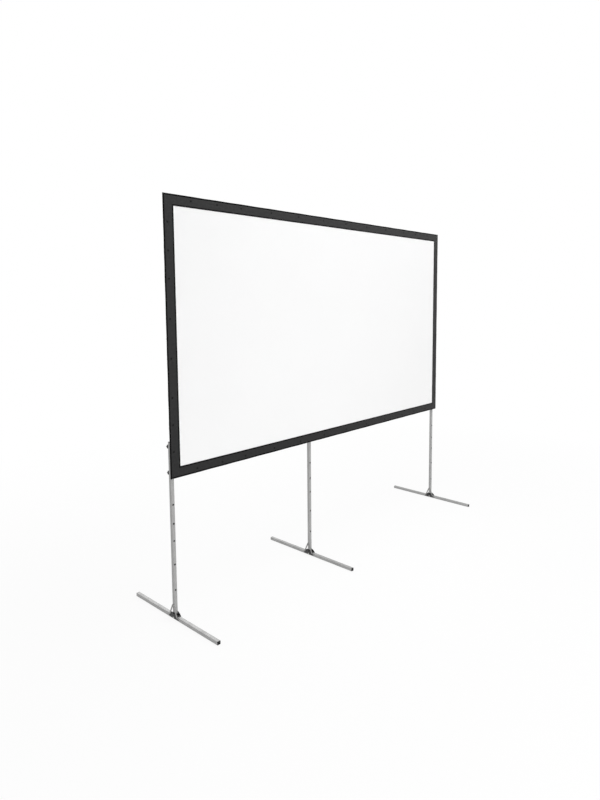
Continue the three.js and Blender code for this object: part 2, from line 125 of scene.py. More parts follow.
def add_node(tree, kind, **inputs):
    """A node with some of its inputs fed, named as in the editor with underscores."""
    node = tree.nodes.new(kind)
    for name, value in inputs.items():
        feed(tree, node.inputs[name.replace("_", " ")], value)
    return node


def reckon(tree, operation, *values):
    """The result of a Math node on these numbers or outputs."""
    node = tree.nodes.new("ShaderNodeMath")
    node.operation = operation
    for socket, value in zip(node.inputs, values):
        feed(tree, socket, value)
    return node.outputs["Value"]


def grain(tree, stretch, detail=2.0, layout=None, broken=0.5):
    """Noise with this many waves per metre along each axis, in the object's space or on a flat layout."""
    if layout:
        flat = tree.nodes.new("ShaderNodeUVMap")
        flat.uv_map = layout
        where = flat.outputs["UV"]
    else:
        where = tree.nodes.new("ShaderNodeTexCoord").outputs["Object"]
    scaled = add_node(tree, "ShaderNodeMapping", Vector=where, Scale=stretch).outputs["Vector"]
    noise = add_node(tree, "ShaderNodeTexNoise", Vector=scaled, Scale=1.0, Detail=detail, Roughness=broken)
    return noise.outputs["Fac"]


def spread(tree, factor, low, high, start=0.3, end=0.7):
    """A factor stretched from low to high, between two of its own values."""
    ends = {"From_Min": start, "From_Max": end, "To_Min": low, "To_Max": high}
    return add_node(tree, "ShaderNodeMapRange", Value=factor, **ends).outputs["Result"]


def two_colours(tree, factor, first, second):
    mix = tree.nodes.new("ShaderNodeMix")
    mix.data_type = "RGBA"
    tree.links.new(factor, mix.inputs["Factor"])
    for socket, colour in zip([s for s in mix.inputs if s.type == "RGBA"], (first, second)):
        socket.default_value = colour
    return next(s for s in mix.outputs if s.type == "RGBA")


def mottle(tree, shader, factor, roughness, colours=None):
    """Varies a finish's roughness by a pattern's factor, and its colour where two are given."""
    tree.links.new(spread(tree, factor, *roughness), shader.inputs["Roughness"])
    if colours:
        tree.links.new(two_colours(tree, factor, *colours), shader.inputs["Base Color"])


def relief(tree, shader, height, depth, under=None):
    """Bump from a height factor, as deep as depth metres, over the relief of an earlier call."""
    bump = add_node(tree, "ShaderNodeBump", Height=height, Distance=depth)
    if under:
        tree.links.new(under, bump.inputs["Normal"])
    tree.links.new(bump.outputs["Normal"], shader.inputs["Normal"])
    return bump.outputs["Normal"]


def corner_share(tree):
    """One on the rail's side of each mitre of the frame, and zero on the upright's side."""
    where = tree.nodes.new("ShaderNodeTexCoord").outputs["Object"]
    spot = add_node(tree, "ShaderNodeSeparateXYZ", Vector=where)
    reaches = []
    for axis, middle, line in (
        ("X", 0, SIDE_LINE),
        ("Z", sum(RAIL_LINES) / 2, (RAIL_LINES[1] - RAIL_LINES[0]) / 2),
    ):
        away = reckon(tree, "ABSOLUTE", reckon(tree, "SUBTRACT", spot.outputs[axis], middle))
        reaches.append(reckon(tree, "SUBTRACT", line, away))
    return reckon(tree, "GREATER_THAN", *reaches)


def tube_finish(name, runs):
    """Aluminium with its die lines along one of the axes 0, 1 or 2, or along both arms of a corner."""
    finish, tree, shader = new_finish(name, TUBE_COLOURS[0], TUBE_ROUGHNESS[0], TUBE_METAL)
    lines = []
    for run in runs:
        stretch = [DIE_LINES_PER_METRE] * 3
        stretch[run] = DIE_LINE_RUN
        lines.append(grain(tree, stretch))
    streaks = lines[0]
    if len(lines) == 2:
        either = add_node(tree, "ShaderNodeMix", Factor=corner_share(tree), A=lines[1], B=lines[0])
        streaks = either.outputs["Result"]
    patches = grain(tree, [PATCHES_PER_METRE] * 3, detail=5.0)
    tone = reckon(
        tree, "MULTIPLY", spread(tree, streaks, *DIE_LINE_TONE), spread(tree, patches, *PATCH_TONE),
    )
    tree.links.new(two_colours(tree, tone, *TUBE_COLOURS), shader.inputs["Base Color"])
    mottle(tree, shader, patches, reversed(TUBE_ROUGHNESS))
    relief(tree, shader, streaks, DIE_LINE_HEIGHT)
    return finish


def soften(node, finish):
    """Gives a solid of the frame its finish and lightly broken edges."""
    piece = frame["nodes"][node]
    piece.data.materials.clear()
    piece.data.materials.append(finish)
    weld = piece.modifiers.new("weld", "WELD")
    weld.merge_threshold = SAME_PLACE
    edges = piece.modifiers.new("edges", "BEVEL")
    edges.width = SOFT_EDGE
    edges.segments = 2
    edges.limit_method = "ANGLE"
    edges.angle_limit = CRISP_TURN
    edges.harden_normals = False


tube_along = {axis: tube_finish(f"aluminium_tube_{axis}", [run]) for run, axis in enumerate("xyz")}
tube_corner = tube_finish("aluminium_tube_corner", [0, 2])
LEGS = ("left", "middle", "right")
SIDES = ("left", "right")
LEVELS = ("bottom", "top")
for leg in LEGS:
    soften(f"post_{leg}", tube_along["z"])
    soften(f"foot_bar_{leg}", tube_along["y"])
for side in SIDES:
    for level in LEVELS:
        soften(f"{level}_corner_{side}", tube_corner)
        soften(f"{level}_rail_{side}", tube_along["x"])
    for half in ("lower", "upper"):
        soften(f"side_{half}_{side}", tube_along["z"])

# End caps: black polypropylene plugs pressed into both ends of each foot and the top of each post,
# with a shallow crowned plate, a moulded dish in it and a fine grain from the tool.
CAP_COLOUR = (0.006, 0.006, 0.006, 1)
CAP_ROUGHNESS = 0.5
CAP_CORNER = 0.003
CAP_ROUND = 0.0009
CAP_RIM = 0.0038
CAP_DISH = 0.0007
CAP_SHANK = 0.0277
CAP_SHANK_LENGTH = 0.014
MOULD_GLOSS = 0.25
MOULD_GRAIN_PER_METRE = 2600
MOULD_GRAIN_HEIGHT = 0.00006
BLOOM_PER_METRE = 36
BLOOM_ROUGHNESS = (0.1, 0.12)
TO_FRONT, TO_BACK, TO_TOP = (0, -1, 0), (0, 1, 0), (0, 0, 1)


def moulded_finish(name, colour, roughness):
    """Moulded plastic: an even colour, with a fine spark-eroded grain and a slight bloom."""
    finish, tree, shader = new_finish(name, colour, roughness)
    shader.inputs["Specular IOR Level"].default_value = MOULD_GLOSS
    bloom = grain(tree, [BLOOM_PER_METRE] * 3, detail=4.0)
    mottle(tree, shader, bloom, (roughness - BLOOM_ROUGHNESS[0], roughness + BLOOM_ROUGHNESS[1]))
    relief(tree, shader, grain(tree, [MOULD_GRAIN_PER_METRE] * 3), MOULD_GRAIN_HEIGHT)
    return finish


def fit_piece(mesh, name, body, finish, replaced=(), smooth=CRISP_TURN):
    """Makes a bmesh an object of this name, which rides on a body and may stand for some nodes."""
    data = bpy.data.meshes.new(name)
    mesh.to_mesh(data)
    mesh.free()
    data.shade_smooth()
    data.set_sharp_from_angle(angle=smooth)
    piece = bpy.data.objects.new(name, data)
    bpy.context.scene.collection.objects.link(piece)
    data.materials.append(finish)
    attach(piece, body)
    if replaced:
        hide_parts(*replaced)
    return piece


def place(mesh, matrix):
    bmesh.ops.transform(mesh, matrix=matrix, verts=mesh.verts)
    return mesh


def gather(meshes):
    """One bmesh that holds all of these."""
    whole = bmesh.new()
    for mesh in meshes:
        data = bpy.data.meshes.new("part")
        mesh.to_mesh(data)
        mesh.free()
        whole.from_mesh(data)
        bpy.data.meshes.remove(data)
    return whole


def lifted(height):
    return Matrix.Translation((0, 0, height))


def seated(spot, direction):
    """Moves a piece drawn along Z to a spot, and turns its top to face this way."""
    return Matrix.Translation(spot) @ Vector(direction).to_track_quat("Z", "Y").to_matrix().to_4x4()


def middle_of(node, axis):
    """The middle of a node's box on the axis 0, 1 or 2."""
    low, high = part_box(node)
    return (low[axis] + high[axis]) / 2


def break_edges(mesh, edges, width, steps=3):
    bmesh.ops.bevel(
        mesh, geom=edges, offset=width, offset_type="OFFSET", segments=steps,
        profile=0.5, affect="EDGES", material=-1,
    )


def box_bmesh(width, depth, height):
    mesh = bmesh.new()
    bmesh.ops.create_cube(mesh, size=1)
    return place(mesh, Matrix.Diagonal((width, depth, height, 1)))


def top_face(mesh):
    return max(mesh.faces, key=lambda f: f.calc_center_median().z)


def top_edges(mesh, height):
    """The edges of a mesh's top, which lies at this height."""
    return [e for e in mesh.edges if all(v.co.z > height - SAME_PLACE for v in e.verts)]


def draw_in(mesh, face, share, depth):
    """Steps a face round the Z axis inwards to this share of its size, and down by depth."""
    grown = bmesh.ops.extrude_discrete_faces(mesh, faces=[face])["faces"][0]
    smaller = lifted(-depth) @ Matrix.Diagonal((share, share, 1, 1))
    bmesh.ops.transform(mesh, matrix=smaller, verts=grown.verts)
    return grown


def end_cap(tube, thickness):
    """A plug cap facing +Z, with the underside of its plate at height zero."""
    plate = place(box_bmesh(tube, tube, thickness), lifted(thickness / 2))
    upright = [e for e in plate.edges if abs(e.verts[0].co.z - e.verts[1].co.z) > thickness / 2]
    break_edges(plate, upright, CAP_CORNER, 6)
    break_edges(plate, top_edges(plate, thickness), CAP_ROUND)
    crown = draw_in(plate, top_face(plate), 1 - 2 * CAP_RIM / tube, 0)
    draw_in(plate, crown, 1 - 2 * CAP_DISH / tube, CAP_DISH)
    shank = place(box_bmesh(CAP_SHANK, CAP_SHANK, CAP_SHANK_LENGTH), lifted(-CAP_SHANK_LENGTH / 2))
    break_edges(shank, list(shank.edges), CAP_ROUND, 2)
    return gather([plate, shank])


cap_finish = moulded_finish("black_plastic", CAP_COLOUR, CAP_ROUGHNESS)
tube_low, tube_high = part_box("foot_bar_left")
TUBE = tube_high.x - tube_low.x
half_tube = TUBE / 2
cap_low, cap_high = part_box("post_cap_left")
CAP_THICKNESS = cap_high.z - cap_low.z - CAP_SHANK_LENGTH
leg_x = {leg: middle_of(f"foot_bar_{leg}", 0) for leg in LEGS}
foot_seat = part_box("foot_cap_rear_left")[1].y - CAP_THICKNESS
for leg in LEGS:
    for name, seat, direction in (
        (f"foot_cap_front_{leg}", (leg_x[leg], -foot_seat, half_tube), TO_FRONT),
        (f"foot_cap_rear_{leg}", (leg_x[leg], foot_seat, half_tube), TO_BACK),
        (f"post_cap_{leg}", (leg_x[leg], 0, cap_high.z - CAP_THICKNESS), TO_TOP),
    ):
        cap = place(end_cap(TUBE, CAP_THICKNESS), seated(seat, direction))
        fit_piece(cap, f"{name}_moulding", body_of_node[name], cap_finish, [name])

# Foot brackets: two half-moon steel cheeks and the two webs between them, blacked, with shoulder
# rivets on the left cheek that the stays hook over. The bracket is bolted to the bar below it.
BRACKET_COLOURS = ((0.035, 0.035, 0.036, 1), (0.091, 0.091, 0.0936, 1))
BRACKET_ROUGHNESS = (0.34, 0.55)
BRACKET_METAL = 0.6
BRACKET_WORN = (0.0, 1.0, 0.45, 0.75)
BRACKET_PATCHES_PER_METRE = 72
BRACKET_STEPS = 180
BRACKET_EDGE = 0.0007
CHEEK_INNER = 0.0163
CHEEK_OUTER = 0.0193
MOON_HALF_WIDTH = 0.072
WEB_SPAN = (0.026, 0.055)
WEB_THICKNESS = 0.003
WEB_SEAT = 0.0323
WEB_LET_IN = 0.001
STAY_FOOT = (0.062, 0.022)
STAY_TOP = (0.008, 0.1328)
STAY_INNER = 0.0199
STAY_OUTER = 0.0229
STAY_PLAY = 0.0003
RIVET_NECK = 0.006
RIVET_SHOULDER = 0.003
RIVET_HEAD = 0.005
RIVET_HEAD_HEIGHT = 0.0015
RIVET_LET_IN = 0.0005
ROUND_STEPS = 40
HAMMER_PER_METRE = 220
HAMMER_HEIGHT = 0.0002
TO_LEFT, TO_RIGHT = (-1, 0, 0), (1, 0, 0)


def blacked_finish():
    """Blacked steel: nearly black, satin, rubbed a little lighter in patches."""
    finish, tree, shader = new_finish("black_steel", BRACKET_COLOURS[0], BRACKET_ROUGHNESS[0], BRACKET_METAL)
    patches = grain(tree, [BRACKET_PATCHES_PER_METRE] * 3, detail=6.0)
    worn = spread(tree, patches, *BRACKET_WORN)
    tree.links.new(two_colours(tree, worn, *BRACKET_COLOURS), shader.inputs["Base Color"])
    mottle(tree, shader, patches, BRACKET_ROUGHNESS)
    relief(tree, shader, grain(tree, [HAMMER_PER_METRE] * 3), HAMMER_HEIGHT)
    return finish


def turned(profile, steps=ROUND_STEPS):
    """A turned piece round Z, from (radius, height) points that start and end on the axis."""
    mesh = bmesh.new()
    points = [mesh.verts.new((radius, 0, height)) for radius, height in profile]
    edges = [mesh.edges.new(pair) for pair in zip(points, points[1:])]
    bmesh.ops.spin(
        mesh, geom=points + edges, cent=(0, 0, 0), axis=(0, 0, 1), dvec=(0, 0, 0),
        angle=math.tau, steps=steps, use_merge=True, use_duplicate=False,
    )
    bmesh.ops.remove_doubles(mesh, verts=mesh.verts, dist=SAME_PLACE)
    bmesh.ops.recalc_face_normals(mesh, faces=mesh.faces)
    return mesh


def dome(radius, start, height, steps=6):
    """Points of a low domed head from its rim to the axis."""
    return [
        (radius * math.cos(turn), start + height * math.sin(turn))
        for turn in (math.pi / 2 * i / steps for i in range(steps + 1))
    ]


def raise_outline(mesh, height):
    """Raises a flat shape by this height, and returns the edges round its two ends."""
    grown = bmesh.ops.extrude_face_region(mesh, geom=list(mesh.faces))
    raised = [v for v in grown["geom"] if isinstance(v, bmesh.types.BMVert)]
    bmesh.ops.translate(mesh, verts=raised, vec=(0, 0, height))
    bmesh.ops.recalc_face_normals(mesh, faces=mesh.faces)
    return [e for e in mesh.edges if abs(e.verts[0].co.z - e.verts[1].co.z) < SAME_PLACE]


def moon(inner, outer, low, high):
    """A half-moon cheek between two places on X, with its chord at low and its crown at high."""
    rise = high - low
    radius = (MOON_HALF_WIDTH ** 2 + rise ** 2) / (2 * rise)
    mesh = bmesh.new()
    bmesh.ops.create_circle(mesh, cap_ends=True, radius=radius, segments=BRACKET_STEPS)
    place(mesh, Matrix.Translation((0, high - radius, 0)))
    bmesh.ops.bisect_plane(
        mesh, geom=list(mesh.verts) + list(mesh.edges) + list(mesh.faces),
        plane_co=(0, low, 0), plane_no=(0, -1, 0), clear_outer=True,
    )
    break_edges(mesh, raise_outline(mesh, outer - inner), BRACKET_EDGE)
    return place(mesh, Matrix(((0, 0, 1, inner), (1, 0, 0, 0), (0, 1, 0, 0), (0, 0, 0, 1))))


def stay_rivet(start, y, z):
    """A shoulder rivet that stands out to the left from start, and holds a stay under its head."""
    back, front = STAY_INNER - STAY_PLAY - start, STAY_OUTER + STAY_PLAY - start
    neck = [(0, 0), (RIVET_NECK, 0), (RIVET_NECK, back), (RIVET_SHOULDER, back)]
    head = dome(RIVET_HEAD, front + RIVET_HEAD_HEIGHT / 3, RIVET_HEAD_HEIGHT * 2 / 3)
    rivet = turned(neck + [(RIVET_SHOULDER, front), (RIVET_HEAD, front)] + head)
    return place(rivet, seated((-start, y, z), TO_LEFT))


blacked = blacked_finish()
moon_low, moon_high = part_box("foot_bracket_left")
for leg in LEGS:
    parts = [
        moon(inner, outer, moon_low.z, moon_high.z)
        for inner, outer in ((CHEEK_INNER, CHEEK_OUTER), (-CHEEK_OUTER, -CHEEK_INNER))
    ]
    for hand in (-1, 1):
        web = box_bmesh(2 * CHEEK_INNER + WEB_LET_IN, WEB_SPAN[1] - WEB_SPAN[0], WEB_THICKNESS)
        break_edges(web, list(web.edges), BRACKET_EDGE / 2, 2)
        web_middle = (0, hand * sum(WEB_SPAN) / 2, WEB_SEAT + WEB_THICKNESS / 2)
        parts.append(place(web, Matrix.Translation(web_middle)))
        parts.append(stay_rivet(CHEEK_OUTER - RIVET_LET_IN, hand * STAY_FOOT[0], STAY_FOOT[1]))
    node = f"foot_bracket_{leg}"
    bracket = place(gather(parts), Matrix.Translation((leg_x[leg], 0, 0)))
    fit_piece(bracket, f"{node}_pressing", f"foot_{leg}", blacked, [node])

# Bolts: a bright zinc foot bolt through each bracket and bar, and above it the blacked pivot bolt
# on which the foot turns against its post. Both have a washer and a hexagon at each end.
ZINC_COLOURS = ((0.4464, 0.4464, 0.432, 1), (0.62, 0.62, 0.60, 1))
ZINC_ROUGHNESS = (0.2, 0.38)
ZINC_METAL = 0.95
ZINC_CLOUDS_PER_METRE = 180
HEX_CHAMFER = 0.0008
FOOT_BOLT_HEX = 0.0072
FOOT_BOLT_HEAD = 0.0035
FOOT_WASHER = 0.0085
PIVOT_HEX = 0.0088
PIVOT_HEAD = 0.0058
PIVOT_SHANK = 0.005
PIVOT_HEIGHT = 0.0528
PIVOT_WASHER = 0.0095
PIVOT_END = 0.0008
WASHER_THICKNESS = 0.0011
WASHER_PLAY = 0.0002
PEG_FOOT = 0.001


def plated_finish(name, colours, roughness, metal, clouds, detail):
    """Zinc plate, with faint cloudy spangles in its colour and gloss."""
    finish, tree, shader = new_finish(name, colours[1], roughness[0], metal)
    mottle(tree, shader, grain(tree, [clouds] * 3, detail=detail), roughness, colours)
    return finish


def washer(radius):
    return turned([(0, 0), (radius, 0), (radius, WASHER_THICKNESS), (0, WASHER_THICKNESS)])


def hexagon(radius, height):
    """A hexagon head or nut on its washer, with its rim turned down to a chamfer."""
    mesh = bmesh.new()
    bmesh.ops.create_cone(mesh, cap_ends=True, segments=6, radius1=radius, radius2=radius, depth=height)
    place(mesh, lifted(height / 2))
    break_edges(mesh, top_edges(mesh, height), HEX_CHAMFER, 2)
    return place(mesh, lifted(WASHER_THICKNESS))


def domed_peg(radius, foot, start, height, rings=6, steps=ROUND_STEPS):
    """A round peg from its foot up to a low domed end that begins at start."""
    return turned([(0, foot), (radius, foot)] + dome(radius, start, height, rings), steps)


zinc = plated_finish("bright_steel", ZINC_COLOURS, ZINC_ROUGHNESS, ZINC_METAL, ZINC_CLOUDS_PER_METRE, 4.0)
pivot_shank = [(0, -CHEEK_OUTER), (PIVOT_SHANK, -CHEEK_OUTER), (PIVOT_SHANK, CHEEK_OUTER), (0, CHEEK_OUTER)]
pivot_end = WASHER_THICKNESS + PIVOT_HEAD
for leg in LEGS:
    heads = []
    bolt = [place(turned(pivot_shank), seated((leg_x[leg], 0, PIVOT_HEIGHT), TO_RIGHT))]
    for hand in (-1, 1):
        seat = seated((leg_x[leg] + hand * (CHEEK_OUTER - WASHER_PLAY), 0, half_tube), (hand, 0, 0))
        ends = (washer(FOOT_WASHER), hexagon(FOOT_BOLT_HEX, FOOT_BOLT_HEAD))
        heads += [place(mesh, seat) for mesh in ends]
        seat = seated((leg_x[leg] + hand * (CHEEK_OUTER + WASHER_PLAY), 0, PIVOT_HEIGHT), (hand, 0, 0))
        crown = domed_peg(PIVOT_SHANK, pivot_end - PEG_FOOT, pivot_end, PIVOT_END)
        ends = (washer(PIVOT_WASHER), hexagon(PIVOT_HEX, PIVOT_HEAD), crown)
        bolt += [place(mesh, seat) for mesh in ends]
    fit_piece(gather(heads), f"foot_bolt_{leg}", f"foot_{leg}", zinc)
    node = f"foot_pivot_bolt_{leg}"
    fit_piece(gather(bolt), f"{node}_turning", f"foot_{leg}", blacked, [node])

# Stays: two flat zinc-plated steel strips to each leg, with a round eye riveted to the post and a
# hooked slot that drops over the rivet on the bracket.
STAY_COLOURS = ((0.2, 0.2, 0.2, 1), (0.34, 0.34, 0.33, 1))
STAY_ROUGHNESS = (0.32, 0.5)
STAY_METAL = 0.85
STAY_CLOUDS_PER_METRE = 108
stay_zinc = plated_finish("stay_steel", STAY_COLOURS, STAY_ROUGHNESS, STAY_METAL, STAY_CLOUDS_PER_METRE, 5.0)
for leg in LEGS:
    for end in ("front", "rear"):
        soften(f"stay_{end}_{leg}", stay_zinc)
    rivets = [stay_rivet(half_tube - RIVET_LET_IN, hand * STAY_TOP[0], STAY_TOP[1]) for hand in (-1, 1)]
    rivets = place(gather(rivets), Matrix.Translation((leg_x[leg], 0, 0)))
    fit_piece(rivets, f"stay_rivets_{leg}", "base", zinc)

# Height holes: five through each post, with black plastic bushes pressed in from the front and
# the back, so that the bolts don't bruise the tube.
HOLE_HEIGHTS = (0.275, 0.515, 0.735, 0.895, 1.070)
BUSH_RIM = 0.0086
BUSH_BORE = 0.0042
BUSH_HEIGHT = 0.0009
BUSH_SLEEVE = 0.0053
BUSH_DEPTH = 0.0155
BUSH_LEAD = 0.0004
BUSH_STEPS = 28


def bush():
    """A flanged bush facing +Z, with its flange standing on height zero."""
    rim = [(BUSH_RIM, 0), (BUSH_RIM, BUSH_HEIGHT / 2), (BUSH_RIM - BUSH_HEIGHT / 2, BUSH_HEIGHT)]
    bore = [(BUSH_BORE + BUSH_LEAD, BUSH_HEIGHT), (BUSH_BORE, BUSH_HEIGHT / 2), (BUSH_BORE, -BUSH_DEPTH)]
    ring = rim + bore + [(BUSH_SLEEVE, -BUSH_DEPTH), (BUSH_SLEEVE, 0)]
    return turned(ring + ring[:1], BUSH_STEPS)


for leg in LEGS:
    bushes = [
        place(bush(), seated((leg_x[leg], hand * half_tube, height), (0, hand, 0)))
        for height in HOLE_HEIGHTS
        for hand in (-1, 1)
    ]
    fit_piece(gather(bushes), f"height_bushes_{leg}", "base", cap_finish)

# Hand knobs: six-lobed black phenolic knobs on steel studs, screwed through each post into the
# frame. Each has a turned collar, deep flutes, a dished face and a bright insert.
KNOB_COLOUR = (0.014, 0.014, 0.0145, 1)
KNOB_ROUGHNESS = 0.34
KNOB_RADIUS = 0.020
KNOB_LOBE = 0.0026
KNOB_LOBES = 6
KNOB_STEPS = 120
KNOB_THICKNESS = 0.016
KNOB_ROUND = 0.0028
KNOB_DISH_INSET = 0.0075
KNOB_DISH = 0.0018
KNOB_SEAT_GAP = 0.0003
COLLAR_LENGTH = 0.008
COLLAR_PROFILE = ((0, 0), (0.0094, 0), (0.0100, 0.0006), (0.0092, 0.0048), (0.0110, 0.0090), (0, 0.0090))
SCREW_RADIUS = 0.004
SCREW_REACH = 0.012
SCREW_TOP = 0.0005
SCREW_STEPS = 24
THREAD_PITCH = 0.00125
THREAD_DEPTH = 0.0006
INSERT_RADIUS = 0.0052
INSERT_RIM = 0.0004
INSERT_CROWN = 0.0006


def fluted_head(start):
    """The six-lobed head, from this height upwards, facing +Z."""
    mesh = bmesh.new()
    bmesh.ops.create_circle(mesh, cap_ends=True, radius=KNOB_RADIUS, segments=KNOB_STEPS)
    for vert in mesh.verts:
        turn = math.atan2(vert.co.y, vert.co.x)
        radius = KNOB_RADIUS - KNOB_LOBE + KNOB_LOBE * math.cos(KNOB_LOBES * turn)
        vert.co = (radius * math.cos(turn), radius * math.sin(turn), start)
    break_edges(mesh, raise_outline(mesh, KNOB_THICKNESS), KNOB_ROUND, 5)
    face = top_face(mesh)
    bmesh.ops.inset_region(mesh, faces=[face], thickness=KNOB_DISH_INSET - KNOB_ROUND)
    bmesh.ops.translate(mesh, verts=face.verts, vec=(0, 0, -KNOB_DISH))
    return mesh


def threaded_screw(low, high):
    """The screw's threaded length, drawn as close rings."""
    core = SCREW_RADIUS - THREAD_DEPTH
    points = [(0, low), (core, low)]
    for ring in range(int((high - low) / THREAD_PITCH)):
        start = low + ring * THREAD_PITCH
        points += [(SCREW_RADIUS, start + THREAD_PITCH / 2), (core, start + THREAD_PITCH)]
    return turned(points + [(0, points[-1][1])], SCREW_STEPS)


knob_finish = moulded_finish("black_phenolic", KNOB_COLOUR, KNOB_ROUGHNESS)
dish = COLLAR_LENGTH + KNOB_THICKNESS - KNOB_DISH
screw_end = -(TUBE + KNOB_SEAT_GAP + SCREW_REACH)
knob_places = {f"rail_knob_{leg}": leg_x[leg] for leg in LEGS}
knob_places.update({f"arm_knob_{side}": leg_x[side] for side in SIDES})
for node, knob_x in knob_places.items():
    seat = seated((knob_x, half_tube + KNOB_SEAT_GAP, middle_of(node, 2)), TO_BACK)
    head = place(gather([turned(COLLAR_PROFILE), fluted_head(COLLAR_LENGTH)]), seat)
    fit_piece(head, f"{node}_moulding", node, knob_finish, [node])
    insert = domed_peg(INSERT_RADIUS, dish - PEG_FOOT, dish + INSERT_RIM, INSERT_CROWN)
    metal = place(gather([insert, threaded_screw(screw_end, SCREW_TOP)]), seat)
    fit_piece(metal, f"{node}_stud", node, zinc)

# Frame hinges: each tube end has a steel leaf with four rivets and rolled knuckles, and a
# headed pin joins the two halves. The knuckles of one half sit between those of the other. The
# corners of the tube are mitred and welded.
KNUCKLE = 0.0052
KNUCKLE_BORE = 0.0024
KNUCKLE_TURN = 0.0004
HINGE_STEPS = 32
FORK_SPAN = (0.0042, 0.0120)
TONGUE_HALF = 0.0039
LEAF_SURFACE = 0.003
LEAF_START = 0.0003
PIN_AXIS = 0.006
RIVETS_ALONG = (0.018, 0.037)
RIVETS_ACROSS = 0.0065
LEAF_RIVET = 0.0028
LEAF_RIVET_HEIGHT = 0.0011
LEAF_RIVET_FOOT = -0.0004
LEAF_RIVET_STEPS = 12
PIN_RADIUS = 0.0022
PIN_LEAD = 0.0004
PIN_HEAD = 0.0037
PIN_HEAD_HEIGHT = 0.0012
PIN_HEAD_CROWN = 0.0008
TUBE_FACE = 0.0483
BEAD_PITCH = 0.0017
BEAD_SIZE = (0.0021, 0.0021, 0.0008)
BEAD_WANDER = 0.0003
BEAD_WANDER_TURN = 2.1
DOWN = Vector((0, 0, -1))
INWARDS = {"left": Vector((1, 0, 0)), "right": Vector((-1, 0, 0))}


def knuckle(start, end):
    """A rolled knuckle round Z between two heights, with its rims broken."""
    ring = [
        (KNUCKLE_BORE, start), (KNUCKLE - KNUCKLE_TURN, start), (KNUCKLE, start + KNUCKLE_TURN),
        (KNUCKLE, end - KNUCKLE_TURN), (KNUCKLE - KNUCKLE_TURN, end), (KNUCKLE_BORE, end),
    ]
    return turned(ring + ring[:1], HINGE_STEPS)


def hinge_half(kind, pin, out, along):
    """Knuckles and rivets of one half. The pin runs along Y; out points from the tube to the pin."""
    spans = [(-TONGUE_HALF, TONGUE_HALF)]
    if kind == "fork":
        spans = [FORK_SPAN, (-FORK_SPAN[1], -FORK_SPAN[0])]
    parts = [place(knuckle(*span), seated(pin, TO_BACK)) for span in spans]
    surface = pin - out * (PIN_AXIS - LEAF_SURFACE)
    for distance in RIVETS_ALONG:
        for hand in (-1, 1):
            spot = surface + along * distance + Vector((0, hand * RIVETS_ACROSS, 0))
            head = domed_peg(LEAF_RIVET, LEAF_RIVET_FOOT, 0, LEAF_RIVET_HEIGHT, 3, LEAF_RIVET_STEPS)
            parts.append(place(head, seated(spot, out)))
    return parts


def plate_fittings(node, lines):
    """Zinc on the hinge leaves and studs: all faces that stand out of the section of each tube."""
    piece = frame["nodes"][node]
    piece.data.materials.append(zinc)
    for face in piece.data.polygons:
        spot = piece.matrix_world @ face.center
        away = min(max(abs(spot[axis] - middle[axis]) for axis in cross) for cross, middle in lines)
        face.material_index = int(away > half_tube + LEAF_START)


def weld_bead(start, end, facing_out):
    """A welded seam: a row of small overlapping ripples that wander slightly."""
    ripples = []
    count = round((end - start).length / BEAD_PITCH)
    aside = (end - start).normalized().cross(facing_out)
    for i in range(count + 1):
        mesh = bmesh.new()
        bmesh.ops.create_uvsphere(mesh, u_segments=8, v_segments=4, radius=1)
        spot = start.lerp(end, i / count) + aside * BEAD_WANDER * math.sin(BEAD_WANDER_TURN * i)
        ripples.append(place(mesh, seated(spot, facing_out) @ Matrix.Diagonal((*BEAD_SIZE, 1))))
    return ripples


frame_y = half_tube - TUBE_FACE
back_face = Vector((0, half_tube, 0))
for level in LEVELS:
    rail_z = middle_of(f"{level}_pin_middle", 2) + half_tube + PIN_AXIS
    along_rail = ((1, 2), Vector((0, frame_y, rail_z)))
    for side in SIDES:
        up_side = ((0, 1), Vector((leg_x[side], frame_y, 0)))
        node = f"{level}_corner_{side}"
        plate_fittings(f"{level}_rail_{side}", [along_rail])
        plate_fittings(node, [along_rail, up_side])
        inwards = INWARDS[side] + (-DOWN if level == "bottom" else DOWN)
        corner = Vector((leg_x[side], frame_y, rail_z))
        inner = corner + inwards * half_tube
        beads = weld_bead(corner - inwards * half_tube + back_face, inner + back_face, Vector(TO_BACK))
        beads += weld_bead(inner - back_face, inner + back_face, inwards.normalized())
        fit_piece(
            gather(beads), f"weld_{level}_{side}", body_of_node[node], tube_corner,
            smooth=2 * CRISP_TURN,
        )
for side in SIDES:
    for half in ("lower", "upper"):
        plate_fittings(f"side_{half}_{side}", [((0, 1), Vector((leg_x[side], frame_y, 0)))])
hinge_halves = {}
for level in LEVELS:
    for name, left_node, left_kind, right_node, right_kind in (
        ("left", "corner_left", "fork", "rail_left", "tongue"),
        ("middle", "rail_left", "fork", "rail_right", "tongue"),
        ("right", "rail_right", "tongue", "corner_right", "fork"),
    ):
        hinge_halves[f"{level}_pin_{name}"] = (
            (f"{level}_{left_node}", left_kind, DOWN, INWARDS["right"]),
            (f"{level}_{right_node}", right_kind, DOWN, INWARDS["left"]),
        )
for side in SIDES:
    for name, out, below, below_kind, above, above_kind in (
        ("lower", INWARDS[side], "bottom_corner", "fork", "side_lower", "tongue"),
        ("middle", -INWARDS[side], "side_lower", "fork", "side_upper", "tongue"),
        ("upper", INWARDS[side], "side_upper", "tongue", "top_corner", "fork"),
    ):
        hinge_halves[f"{side}_pin_{name}"] = (
            (f"{below}_{side}", below_kind, out, DOWN),
            (f"{above}_{side}", above_kind, out, -DOWN),
        )
hardware = {}
